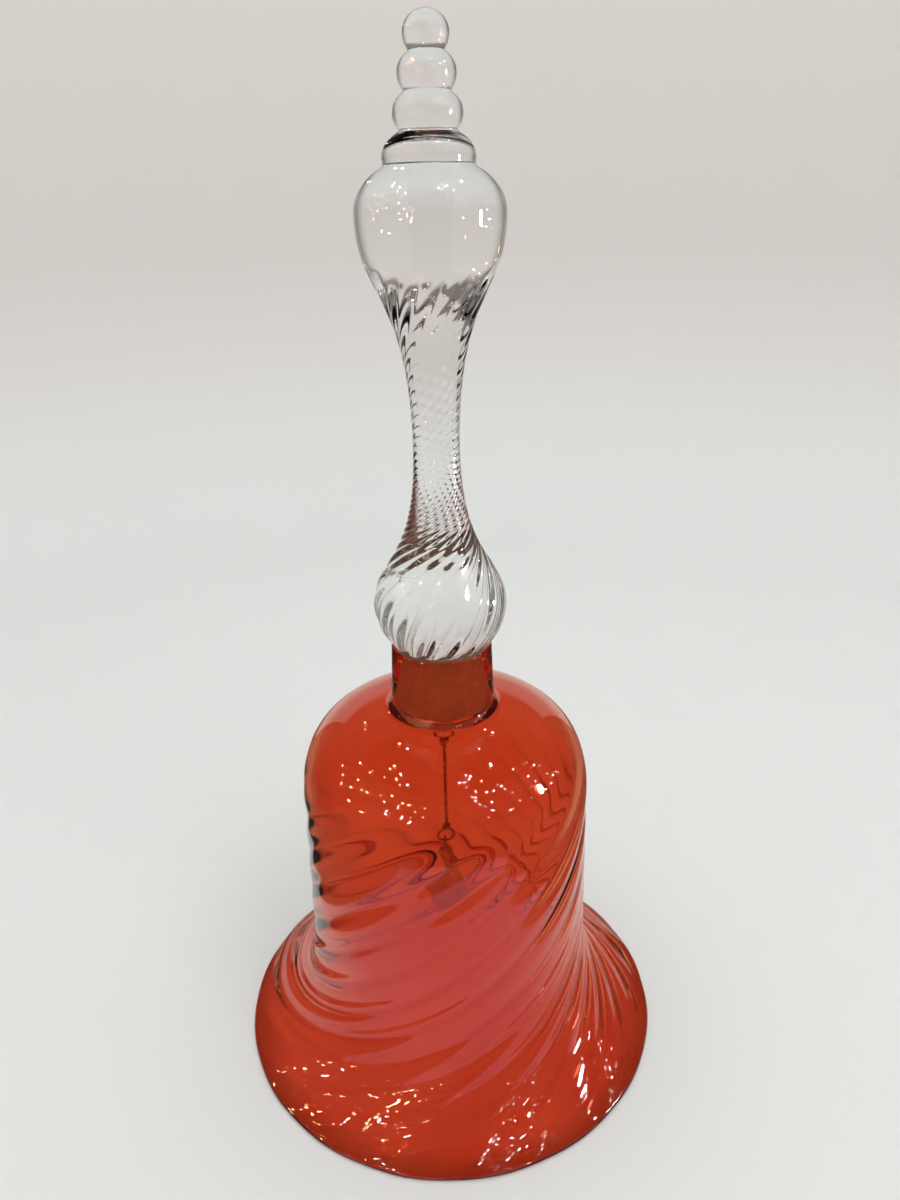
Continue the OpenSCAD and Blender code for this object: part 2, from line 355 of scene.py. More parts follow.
def capped_sweep(bm, circle, cent, axis, dvec, turn, steps):
    """Sweeps a circle along a helix and closes both ends."""
    start = [g for g in circle if isinstance(g, bmesh.types.BMEdge)]
    made = bmesh.ops.spin(bm, geom=circle, cent=cent, axis=axis, dvec=dvec, angle=turn,
                          steps=steps, use_merge=False, use_normal_flip=False,
                          use_duplicate=False)
    last = [g for g in made["geom_last"] if isinstance(g, bmesh.types.BMEdge)]
    for ends in (start, last):
        bmesh.ops.edgeloop_fill(bm, edges=ends)


def rod(bm, foot, top, radius, sides=14):
    """A straight round wire with rounded ends."""
    middle = (foot + top) / 2
    run = top - foot
    made = bmesh.ops.create_cone(bm, cap_ends=True, cap_tris=False, segments=sides,
                                 radius1=radius, radius2=radius, depth=run.length,
                                 matrix=Matrix.Translation(middle))
    rims = [e for v in made["verts"] for e in v.link_edges
            if abs(e.verts[0].co.z - e.verts[1].co.z) < 1e-9]
    bmesh.ops.bevel(bm, geom=list(set(rims)), offset=radius * 0.4, affect="EDGES", segments=2,
                    profile=0.5, material=-1)


def finished(bm, name, material, body, slot, *nodes, sharp=None):
    """Turns a bmesh into a smooth piece that rides on a body and stands for CAD nodes."""
    mesh = bpy.data.meshes.new(name)
    bm.to_mesh(mesh)
    bm.free()
    for layer in ("depth", "turn", "out_r", "out_z"):
        if layer in mesh.attributes:
            mesh.attributes.remove(mesh.attributes[layer])
    mesh.shade_smooth()
    if sharp:
        mesh.set_sharp_from_angle(angle=sharp)
    mesh.materials.append(material)
    piece = bpy.data.objects.new(name, mesh)
    bpy.context.scene.collection.objects.link(piece)
    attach(piece, body)
    if nodes:
        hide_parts(*nodes)
    return piece


# ---------------------------------------------------------------- materials

def new_group(name, inputs, outputs):
    """An empty shader node group with its sockets."""
    group = bpy.data.node_groups.new(name, "ShaderNodeTree")
    for label, kind, value in inputs:
        socket = group.interface.new_socket(name=label, in_out="INPUT", socket_type=kind)
        socket.default_value = value
    for label, kind in outputs:
        group.interface.new_socket(name=label, in_out="OUTPUT", socket_type=kind)
    return group, group.nodes.new("NodeGroupInput"), group.nodes.new("NodeGroupOutput")


def node(tree, kind, **settings):
    """A new node with its settings."""
    made = tree.nodes.new(kind)
    for name, value in settings.items():
        setattr(made, name, value)
    return made


def maths(tree, operation, a, b=None, c=None):
    """A Math node between sockets or numbers."""
    made = node(tree, "ShaderNodeMath", operation=operation)
    for socket, value in zip(made.inputs, (a, b, c)):
        if isinstance(value, bpy.types.NodeSocket):
            tree.links.new(value, socket)
        elif value is not None:
            socket.default_value = value
    return made.outputs[0]


def blown_surface():
    """Group: the slow waves and fine marks of fire-polished glass."""
    if "Blown Surface" in bpy.data.node_groups:
        return bpy.data.node_groups["Blown Surface"]
    group, start, end = new_group(
        "Blown Surface",
        [("Wave Size", "NodeSocketFloat", 20.0), ("Wave Height", "NodeSocketFloat", 1.0),
         ("Mark Size", "NodeSocketFloat", 400.0), ("Mark Height", "NodeSocketFloat", 0.1)],
        [("Height", "NodeSocketFloat"), ("Streaks", "NodeSocketFloat")])
    links = group.links
    coords = node(group, "ShaderNodeTexCoord")
    waves = node(group, "ShaderNodeTexNoise")
    waves.inputs["Detail"].default_value = 1.0
    marks = node(group, "ShaderNodeTexNoise")
    marks.inputs["Detail"].default_value = 2.0
    for noise, size in ((waves, "Wave Size"), (marks, "Mark Size")):
        links.new(coords.outputs["Object"], noise.inputs["Vector"])
        links.new(start.outputs[size], noise.inputs["Scale"])
    high = maths(group, "MULTIPLY", waves.outputs["Fac"], start.outputs["Wave Height"])
    fine = maths(group, "MULTIPLY", marks.outputs["Fac"], start.outputs["Mark Height"])
    links.new(maths(group, "ADD", high, fine), end.inputs["Height"])
    links.new(waves.outputs["Fac"], end.inputs["Streaks"])
    return group


def new_material(name):
    """A material with its Principled shader and output."""
    material = bpy.data.materials.new(name)
    material.use_nodes = True
    tree = material.node_tree
    return material, tree, tree.nodes["Principled BSDF"], tree.nodes["Material Output"]


def placed_group(tree, group, **values):
    """A node group in a material, with its own values."""
    made = node(tree, "ShaderNodeGroup")
    made.node_tree = group
    for label, value in values.items():
        made.inputs[label.replace("_", " ")].default_value = value
    return made


def bump(tree, shader, height, distance, strength=1.0):
    """Feeds a height to the shader's normal."""
    made = node(tree, "ShaderNodeBump")
    made.inputs["Distance"].default_value = distance
    made.inputs["Strength"].default_value = strength
    tree.links.new(height, made.inputs["Height"])
    tree.links.new(made.outputs["Normal"], shader.inputs["Normal"])


def ramp(tree, value, low, high, first, second):
    """A two-colour ramp between two values."""
    made = node(tree, "ShaderNodeValToRGB")
    made.color_ramp.elements[0].position = low
    made.color_ramp.elements[0].color = (*first, 1)
    made.color_ramp.elements[1].position = high
    made.color_ramp.elements[1].color = (*second, 1)
    tree.links.new(value, made.inputs["Fac"])
    return made.outputs["Color"]


def glass(name, first, second, ior, wave, absorbs, density, clearness=1.0):
    """Clear, tinted or milky glass: slightly streaked, with slow waves in its surface."""
    if name in bpy.data.materials:
        return bpy.data.materials[name]
    material, tree, shader, output = new_material(name)
    surface = placed_group(tree, blown_surface(), Wave_Size=wave, Wave_Height=1.0,
                           Mark_Size=520.0, Mark_Height=0.02)
    tree.links.new(ramp(tree, surface.outputs["Streaks"], 0.35, 0.68, first, second),
                   shader.inputs["Base Color"])
    shader.inputs["Roughness"].default_value = 0.0
    shader.inputs["IOR"].default_value = ior
    shader.inputs["Transmission Weight"].default_value = clearness
    bump(tree, shader, surface.outputs["Height"], 0.00012)
    if density:
        volume = node(tree, "ShaderNodeVolumeAbsorption")
        volume.inputs["Color"].default_value = (*absorbs, 1)
        volume.inputs["Density"].default_value = density
        tree.links.new(volume.outputs["Volume"], output.inputs["Volume"])
    return material


def plaster_material(looks, dirt_and_shade_height):
    """Old plaster: mottled and pitted, and brown at its top in the seam under the knop, partly
    dirt and partly painted shade.
    """
    material, tree, shader, _ = new_material("old_plaster")
    coords = node(tree, "ShaderNodeTexCoord")
    mottle = node(tree, "ShaderNodeTexNoise")
    mottle.inputs["Scale"].default_value = 260.0
    mottle.inputs["Detail"].default_value = 6.0
    pits = node(tree, "ShaderNodeTexVoronoi")
    pits.inputs["Scale"].default_value = 900.0
    for texture in (mottle, pits):
        tree.links.new(coords.outputs["Object"], texture.inputs["Vector"])
    split = node(tree, "ShaderNodeSeparateXYZ")
    tree.links.new(coords.outputs["Object"], split.inputs["Vector"])
    # Painted shade and dirt: from just under the neck's top up into the seam under the knop, the
    # plaster turns brown.
    rise = node(tree, "ShaderNodeMapRange")
    rise.inputs["From Min"].default_value = dirt_and_shade_height - 0.0012
    rise.inputs["From Max"].default_value = dirt_and_shade_height + 0.0002
    tree.links.new(split.outputs["Z"], rise.inputs["Value"])
    clean = ramp(tree, mottle.outputs["Fac"], 0.3, 0.7, tuple(c * 0.8 for c in looks.plaster),
                 tuple(looks.plaster))
    dirt_and_shade_tone = ramp(tree, mottle.outputs["Fac"], 0.35, 0.75, tuple(looks.plaster_dirt_and_shade),
                 tuple(c * 2.2 for c in looks.plaster_dirt_and_shade))
    mix = node(tree, "ShaderNodeMix", data_type="RGBA")
    tree.links.new(rise.outputs["Result"], mix.inputs["Factor"])
    tree.links.new(clean, mix.inputs[6])
    tree.links.new(dirt_and_shade_tone, mix.inputs[7])
    tree.links.new(mix.outputs[2], shader.inputs["Base Color"])
    shader.inputs["Roughness"].default_value = 0.85
    shader.inputs["Specular IOR Level"].default_value = 0.3
    bump(tree, shader, maths(tree, "ADD", mottle.outputs["Fac"], pits.outputs["Distance"]),
         0.0002, 0.6)
    return material


def wire_material(looks):
    """Dull drawn wire with brown tarnish."""
    if "drawn_wire" in bpy.data.materials:
        return bpy.data.materials["drawn_wire"]
    material, tree, shader, _ = new_material("drawn_wire")
    coords = node(tree, "ShaderNodeTexCoord")
    noise = node(tree, "ShaderNodeTexNoise")
    noise.inputs["Scale"].default_value = 340.0
    noise.inputs["Detail"].default_value = 5.0
    tree.links.new(coords.outputs["Object"], noise.inputs["Vector"])
    tree.links.new(ramp(tree, noise.outputs["Fac"], 0.4, 0.65, tuple(looks.tarnish),
                        tuple(looks.wire)), shader.inputs["Base Color"])
    shader.inputs["Metallic"].default_value = 0.7
    rough = node(tree, "ShaderNodeMapRange")
    rough.inputs["To Min"].default_value = 0.55
    rough.inputs["To Max"].default_value = 0.28
    tree.links.new(noise.outputs["Fac"], rough.inputs["Value"])
    tree.links.new(rough.outputs["Result"], shader.inputs["Roughness"])
    bump(tree, shader, noise.outputs["Fac"], 0.00005)
    return material


def ruby_glass(looks):
    """The shade's glass."""
    return glass("blown_ruby", tuple(looks.ruby), tuple(looks.ruby_deep), 1.5, 26.0,
                 (0.92, 0.33, 0.0), 60.0)


def clear_glass(looks):
    """The handle's glass."""
    return glass("blown_clear", tuple(looks.clear), tuple(looks.clear_deep), 1.54, 38.0,
                 (0.6, 0.55, 0.5), 1.5)


# ---------------------------------------------------------------- pieces

class GLASSBELL_OT_shade(bpy.types.Operator):
    """Builds the ribbed ruby shade with its neck and bore"""

    bl_idname = "glassbell.shade"
    bl_label = "Shade"

    def execute(self, context):
        s = context.scene.glassbell_shade
        mouth = SHADE_HIGH.x
        lip = s.thickness / 2
        middle = Vector((mouth - lip, lip - s.lip_grind))
        lean = s.lip_lean
        start = middle + lip * Vector((math.sin(lean), math.cos(lean)))
        top = s.flare_height + s.wall_height
        crown = top + s.shoulder_height
        neck_top = SHADE_HIGH.z + s.bed
        flare = bezier(start, start + s.lip_run * Vector((-math.cos(lean), math.sin(lean))),
                       Vector((s.waist_radius, s.flare_height - s.waist_run)),
                       Vector((s.waist_radius, s.flare_height)), 52)
        wall = straight(flare[-1], Vector((s.wall_radius, top)), 26)
        foot = Vector((s.neck_radius + s.neck_fillet, crown))
        shoulder = bezier(Vector((s.wall_radius, top)),
                          Vector((s.wall_radius, top + s.shoulder_run)),
                          foot + Vector((s.crown_run, -s.crown_fall)), foot, 36)
        outside = flare + wall + shoulder
        inside = [p - s.thickness * n for p, n in zip(outside, normals(outside, False))]
        degrees = math.degrees(lean)
        edge = arc(middle, lip, -90 - degrees, 90 - degrees, 14)[1:-1]
        edge = [Vector((p.x, max(p.y, 0.0))) for p in edge]
        fillet = arc(foot + Vector((0, s.neck_fillet)), s.neck_fillet, 270, 180, 8)[1:]
        round_r = 0.6 * MM
        shoulder_top = arc(Vector((s.neck_top_radius - round_r, neck_top - round_r)), round_r,
                           0, 90, 4)
        neck = straight(fillet[-1], shoulder_top[0], 12)
        bore_top = Vector((s.bore_top, neck_top))
        bore_foot = Vector((s.bore_foot, crown - s.thickness))
        top_face = straight(shoulder_top[-1], bore_top, 4)
        bore = [bore_top] + straight(bore_top, bore_foot, 10) + [bore_foot]
        outline = edge + outside + fillet + neck + shoulder_top + top_face + bore
        plain = len(outline) - len(edge) - len(outside)
        outline += inside[::-1]

        def rate(p):
            return s.wall_twist + (s.flare_twist - s.wall_twist) * (
                1 - smooth(p.y, 0.3 * s.flare_height, 1.1 * s.flare_height))

        def depth(p):
            on_flare = 1 - smooth(p.y, 0.25 * s.flare_height, 1.2 * s.flare_height)
            fade = 1 - smooth(p.y, top - 0.3 * s.wall_height, top + 0.7 * s.shoulder_height)
            edge_fade = 0.15 + 0.85 * smooth(p.y, 0.8 * MM, 6.0 * MM)
            return (s.wall_rib + (s.flare_rib - s.wall_rib) * on_flare) * fade * edge_fade

        turns = turn_along(outside, rate)
        last = turns[-1]
        deep = [depth(p) for p in outside]
        edge_deep = [deep[0] * (0.6 + 0.4 * i / len(edge)) for i in range(len(edge))]
        all_turns = [turns[0]] * len(edge) + turns + [last] * plain + turns[::-1]
        all_deep = (edge_deep + deep + [0.0] * plain + [d * s.inner_rib for d in deep[::-1]])
        bm = bmesh.new()
        geometry = chain(bm, outline, True, all_deep, all_turns, normals(outline, True))
        lathe(bm, geometry, s.ribs * s.columns)
        rib(bm, s.ribs, 0.6, 0.14)
        finished(bm, "shade", ruby_glass(context.scene.glassbell_finishes), "bell",
                 "ruby_glass", "bell_shade", sharp=math.radians(50))
        return {"FINISHED"}


class GLASSBELL_OT_handle(bpy.types.Operator):
    """Builds the solid handle: peg, ribbed knop, twisted stem, bulb and finial of beads"""

    bl_idname = "glassbell.handle"
    bl_label = "Handle"

    def execute(self, context):
        s = context.scene.glassbell_handle
        seat = HANDLE_LOW.z + s.peg_length
        knop = seat + s.knop_rise
        narrow = knop + s.stem_rise
        belly = narrow + s.bulb_rise
        sunk = seat - 0.03 * MM
        slant = math.asin(s.knop_rise / s.knop_under)
        under = [Vector((s.knop_radius * math.cos(t), knop + s.knop_under * math.sin(t)))
                 for t in [-slant * (1 - i / 26) for i in range(27)]]
        under[0].y = sunk
        peg = [Vector((0, HANDLE_LOW.z)), Vector((s.peg_end_radius * 0.5, HANDLE_LOW.z)),
               Vector((s.peg_end_radius - 0.5 * MM, HANDLE_LOW.z)),
               Vector((s.peg_end_radius, HANDLE_LOW.z + 0.5 * MM))]
        seat_edge = Vector((s.peg_radius, sunk))
        peg += straight(peg[-1], seat_edge, 8) + [seat_edge] + straight(seat_edge, under[0], 6)
        lower = bezier(Vector((s.knop_radius, knop)),
                       Vector((s.knop_radius, knop + s.knop_run)),
                       Vector((s.stem_radius, narrow - s.stem_low_run)),
                       Vector((s.stem_radius, narrow)), 84)[1:]
        upper = bezier(Vector((s.stem_radius, narrow)),
                       Vector((s.stem_radius, narrow + s.stem_high_run)),
                       Vector((s.bulb_radius, belly - s.bulb_run)),
                       Vector((s.bulb_radius, belly)), 76)[1:]
        beads = list(zip(s.bead_radii, s.bead_halves, [belly + r for r in s.bead_rises]))
        rounds = [(s.bulb_radius, s.bulb_crown, belly)] + beads

        def reach(z):
            total = 0.0
            for radius, half, middle in rounds:
                inside = 1 - ((z - middle) / half) ** 2
                if inside > 0:
                    total += (radius * math.sqrt(inside)) ** s.pinch
            return total ** (1 / s.pinch)

        tip_radius, tip_half, tip = rounds[-1]
        rows = 112
        finial = [Vector((reach(z), z)) for z in
                  [belly + (tip - belly) * i / rows for i in range(1, rows + 1)]]
        cap = [Vector((tip_radius * math.cos(t), tip + tip_half * math.sin(t)))
               for t in [math.pi / 2 * i / 14 for i in range(1, 15)]]
        cap[-1].x = 0.0
        outline = peg + under + lower + upper + finial + cap

        def rate(p):
            swirl = 0.78 + 1.67 * math.exp(-((p.y - knop - 25.5 * MM) / (16 * MM)) ** 2)
            narrowing = (s.stem_radius / max(p.x, s.stem_radius)) ** 1.8
            return math.radians(8700) * narrowing * swirl

        def depth(p):
            if p.y < sunk + 0.01 * MM:
                return 0.0
            wide = smooth(p.x, s.stem_radius * 1.02, s.knop_radius * 0.82)
            full = s.knop_rib if p.y < narrow else s.bulb_rib
            fade = 1 - smooth(p.y, narrow + s.rib_top - s.rib_fade, narrow + s.rib_top)
            return (s.stem_rib + (full - s.stem_rib) * wide) * fade

        start = len(peg)
        turns = [0.0] * start + turn_along(outline[start:], rate)
        deep = [depth(p) for p in outline]
        deep[start] = deep[start + 1]
        bm = bmesh.new()
        geometry = chain(bm, outline, False, deep, turns, normals(outline, False))
        lathe(bm, geometry, s.ribs * s.columns)
        rib(bm, s.ribs, 0.35, 0.06)
        finished(bm, "handle_glass", clear_glass(context.scene.glassbell_finishes), "bell",
                 "clear_glass", "handle", sharp=math.radians(60))
        return {"FINISHED"}


class GLASSBELL_OT_plaster(bpy.types.Operator):
    """Gives the plaster in the neck its finish"""

    bl_idname = "glassbell.plaster"
    bl_label = "Plaster"

    def execute(self, context):
        material = plaster_material(context.scene.glassbell_finishes, SHADE_HIGH.z)
        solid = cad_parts["neck_plaster"]
        solid.data.materials.clear()
        solid.data.materials.append(material)
        return {"FINISHED"}


class GLASSBELL_OT_links(bpy.types.Operator):
    """Builds the two link rings and gives the staple its finish"""

    bl_idname = "glassbell.links"
    bl_label = "Links"

    def execute(self, context):
        s = context.scene.glassbell_clapper
        material = wire_material(context.scene.glassbell_finishes)
        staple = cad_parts["clapper_staple"]
        staple.data.materials.clear()
        staple.data.materials.append(material)
        for name, low, high in (("upper_ring", UPPER_LOW, UPPER_HIGH),
                                ("lower_ring", LOWER_LOW, LOWER_HIGH)):
            bm = bmesh.new()
            wire_ring(bm, (low + high) / 2, (high.z - low.z - s.ring_wire) / 2, s.ring_wire,
                      Vector((1, 0, 0)))
            bmesh.ops.recalc_face_normals(bm, faces=bm.faces[:])
            finished(bm, name + "_wire", material, name, "wire", name)
        return {"FINISHED"}


class GLASSBELL_OT_hanging_wire(bpy.types.Operator):
    """Builds the hanging wire with an eye and a wrapped tail at each end"""

    bl_idname = "glassbell.hanging_wire"
    bl_label = "Hanging Wire"

    def execute(self, context):
        s = context.scene.glassbell_clapper
        material = wire_material(context.scene.glassbell_finishes)
        reach = s.eye_radius + s.rod_wire / 2
        bm = bmesh.new()
        foot = Vector((0, 0, WIRE_LOW.z + reach))
        top = Vector((0, 0, WIRE_HIGH.z - reach))
        for eye, way in ((foot, 1), (top, -1)):
            wire_ring(bm, eye, s.eye_radius, s.rod_wire, Vector((0, 1, 0)))
            begin = eye + Vector((s.rod_wire, 0, way * (s.eye_radius + s.rod_wire * 0.55)))
            circle = wire_circle(bm, s.rod_wire / 2, begin, Matrix.Rotation(math.pi / 2, 4, "X"))
            run = s.wrap_length - s.rod_wire
            steps = int(24 * s.wrap_turns)
            capped_sweep(bm, circle, Vector((0, 0, 0)), Vector((0, 0, 1)),
                         Vector((0, 0, way * run / steps)), math.tau * s.wrap_turns, steps)
        rod(bm, foot + Vector((0, 0, s.eye_radius)), top - Vector((0, 0, s.eye_radius)),
            s.rod_wire / 2)
        bmesh.ops.recalc_face_normals(bm, faces=bm.faces[:])
        finished(bm, "hanging_wire", material, "clapper_wire", "wire", "clapper_wire")
        return {"FINISHED"}


class GLASSBELL_OT_drop(bpy.types.Operator):
    """Builds the glass drop and the bail that holds it"""

    bl_idname = "glassbell.drop"
    bl_label = "Drop"

    def execute(self, context):
        s = context.scene.glassbell_clapper
        looks = context.scene.glassbell_finishes
        radius = DROP_HIGH.x
        middle = DROP_LOW.z + radius
        tip = DROP_HIGH.z - s.drop_tip_radius
        side = math.degrees(math.asin((radius - s.drop_tip_radius) / (tip - middle)))
        outline = arc(Vector((0, middle)), radius, -90, side, 36)
        outline += straight(outline[-1], arc(Vector((0, tip)), s.drop_tip_radius, side, 90, 8)[0],
                            6)
        outline += arc(Vector((0, tip)), s.drop_tip_radius, side, 90, 8)
        outline[0].x = 0.0
        outline[-1].x = 0.0
        none = [0.0] * len(outline)
        bm = bmesh.new()
        geometry = chain(bm, outline, False, none, none, normals(outline, False))
        lathe(bm, geometry, 64)
        material = glass("blown_drop", tuple(looks.drop), tuple(looks.clear), 1.52, 60.0,
                         (0.6, 0.5, 0.35), 6.0, clearness=0.4)
        finished(bm, "drop", material, "clapper", "drop_glass", "clapper_drop")

        wire = s.bail_wire
        eye = Vector((0, 0, BAIL_HIGH.z - s.bail_radius - wire / 2))
        bm = bmesh.new()
        wire_ring(bm, eye, s.bail_radius, wire, Vector((0, 1, 0)))
        rod(bm, Vector((0, 0, BAIL_LOW.z)), eye - Vector((0, 0, s.bail_radius)), wire / 2)
        bmesh.ops.recalc_face_normals(bm, faces=bm.faces[:])
        finished(bm, "bail", wire_material(looks), "clapper", "wire", "drop_bail")
        return {"FINISHED"}


# ---------------------------------------------------------------- stage

BEHIND = math.radians(36)                                    # half width of the open back
WING_FROM, WING_FULL = math.radians(44), math.radians(72)    # the side flags fade in
WING_FADE, WING_END = math.radians(74), math.radians(100)    # and out again
LAMP_DISTANCE = 0.7                                          # from the bell to a small lamp
KEY_PLACE = Vector((0.42, -0.48, 0.95))
CAMERA_PLACE = Vector((0, -0.2656, 0.2824))
CAMERA_PITCH, CAMERA_YAW, CAMERA_ROLL = [math.radians(d) for d in (23.21, 0.66, -1.25)]


def stage_material(s):
    """Pale paper. Only what the glass reflects or bends meets dark flags beyond a pale sheet. The
    glass shows the sheet before the bell as a painted darker pink reflection, and the floor
    inside the mouth glows with painted red light.
    """
    material, tree, shader, _ = new_material("studio_paper")
    coords = node(tree, "ShaderNodeTexCoord")
    split = node(tree, "ShaderNodeSeparateXYZ")
    tree.links.new(coords.outputs["Object"], split.inputs["Vector"])
    x, y, z = split.outputs
    rays = node(tree, "ShaderNodeLightPath")
    first = maths(tree, "LESS_THAN", rays.outputs["Diffuse Depth"], 0.5)
    aside = maths(tree, "ABSOLUTE", x)
    away = maths(tree, "SQRT", maths(tree, "ADD", maths(tree, "MULTIPLY", x, x),
                                     maths(tree, "MULTIPLY", y, y)))
    around = maths(tree, "ARCTAN2", aside, y)

    def soft(value, low, high):
        made = node(tree, "ShaderNodeMapRange", interpolation_type="SMOOTHSTEP")
        made.inputs["From Min"].default_value = low
        made.inputs["From Max"].default_value = high
        tree.links.new(value, made.inputs["Value"])
        return made.outputs["Result"]

    def blend(amount, first_colour, second_colour):
        made = node(tree, "ShaderNodeMix", data_type="RGBA")
        tree.links.new(amount, made.inputs["Factor"])
        for socket, value in ((made.inputs[6], first_colour), (made.inputs[7], second_colour)):
            if isinstance(value, bpy.types.NodeSocket):
                tree.links.new(value, socket)
            else:
                socket.default_value = (*value, 1)
        return made.outputs[2]

    ahead = maths(tree, "MULTIPLY", y, -1.0)
    outside = soft(aside, s.sheet_half_width - 0.004, s.sheet_half_width + 0.004)
    front = soft(ahead, s.sheet_front - 0.004, s.sheet_front + 0.004)
    narrow = maths(tree, "LESS_THAN", around, BEHIND)
    behind = maths(tree, "MULTIPLY", narrow, soft(away, 0.4, 0.5))
    bent = maths(tree, "MULTIPLY", rays.outputs["Is Transmission Ray"], first)
    glossy = maths(tree, "MULTIPLY", rays.outputs["Is Glossy Ray"], first)
    glossy = maths(tree, "SUBTRACT", glossy, bent)
    gloss = maths(tree, "MAXIMUM", outside, front)
    gloss = maths(tree, "MULTIPLY", gloss, maths(tree, "SUBTRACT", 1.0, behind))
    gloss = maths(tree, "MAXIMUM", gloss, soft(z, 0.42, 0.5))
    gloss = maths(tree, "MULTIPLY", gloss, glossy)
    wing = maths(tree, "MULTIPLY", soft(around, WING_FROM, WING_FULL),
                 maths(tree, "SUBTRACT", 1.0, soft(around, WING_FADE, WING_END)))
    wing = maths(tree, "MULTIPLY", maths(tree, "MULTIPLY", wing, soft(away, 0.3, 0.36)), bent)
    patch = maths(tree, "MULTIPLY", front, maths(tree, "LESS_THAN", aside, 0.15))
    room = maths(tree, "MULTIPLY", maths(tree, "MAXIMUM", patch, soft(z, 0.62, 0.72)), bent)
    # Painted reflection: in reflections only, the sheet just before the bell turns the darker
    # pink of the front colour, as shade and red light on it.
    painted_front_reflection = maths(tree, "MULTIPLY", soft(ahead, 0.01, 0.08), glossy)
    # Painted shade: the paper turns darker and warmer from the floor up the backdrop.
    tone = blend(soft(z, 0.0, 0.25), s.paper, s.backdrop)
    tone = blend(painted_front_reflection, tone, s.front)
    tone = blend(room, tone, s.room)
    tone = blend(wing, tone, s.wings)
    tone = blend(gloss, tone, s.wood)
    tree.links.new(tone, shader.inputs["Base Color"])
    # Painted light: the floor glows red inside the mouth and fades out towards the rim, in place
    # of the light that comes through the ruby glass.
    shader.inputs["Emission Color"].default_value = (*s.painted_glow, 1)
    tree.links.new(maths(tree, "SUBTRACT", 1.0, soft(away, SHADE_HIGH.x * 0.84, SHADE_HIGH.x)),
                   shader.inputs["Emission Strength"])
    material.cycles.emission_sampling = "NONE"
    shader.inputs["Roughness"].default_value = 0.9
    shader.inputs["Specular IOR Level"].default_value = 0.1
    return material


def lamp_material(name, rgb, power):
    """A small lamp that only the glass shows."""
    material = bpy.data.materials.new(name)
    material.use_nodes = True
    tree = material.node_tree
    tree.nodes.clear()
    output = node(tree, "ShaderNodeOutputMaterial")
    light = node(tree, "ShaderNodeEmission")
    light.inputs["Color"].default_value = (*rgb, 1)
    rays = node(tree, "ShaderNodeLightPath")
    first = maths(tree, "LESS_THAN", rays.outputs["Diffuse Depth"], 0.5)
    tree.links.new(maths(tree, "MULTIPLY", first, power), light.inputs["Strength"])
    tree.links.new(light.outputs["Emission"], output.inputs["Surface"])
    material.cycles.emission_sampling = "NONE"
    return material


def lamp_disc(name, azimuth, elevation, distance, radius, tall, material):
    """A round lamp that faces the bell from a bearing and a height in degrees."""
    a, e = math.radians(azimuth), math.radians(elevation)
    way = Vector((math.sin(a) * math.cos(e), math.cos(a) * math.cos(e), math.sin(e)))
    place = Matrix.Translation(Vector((0, 0, 0.1)) + way * distance)
    turned = way.to_track_quat("Z", "Y").to_matrix().to_4x4()
    bm = bmesh.new()
    bmesh.ops.create_circle(bm, cap_ends=True, segments=12, radius=radius,
                            matrix=place @ turned @ Matrix.Diagonal((1, tall, 1, 1)))
    mesh = bpy.data.meshes.new(name)
    bm.to_mesh(mesh)
    bm.free()
    mesh.materials.append(material)
    lamp = bpy.data.objects.new(name, mesh)
    bpy.context.scene.collection.objects.link(lamp)
    lamp.visible_camera = False
    lamp.visible_diffuse = False
    lamp.visible_shadow = False
    return lamp


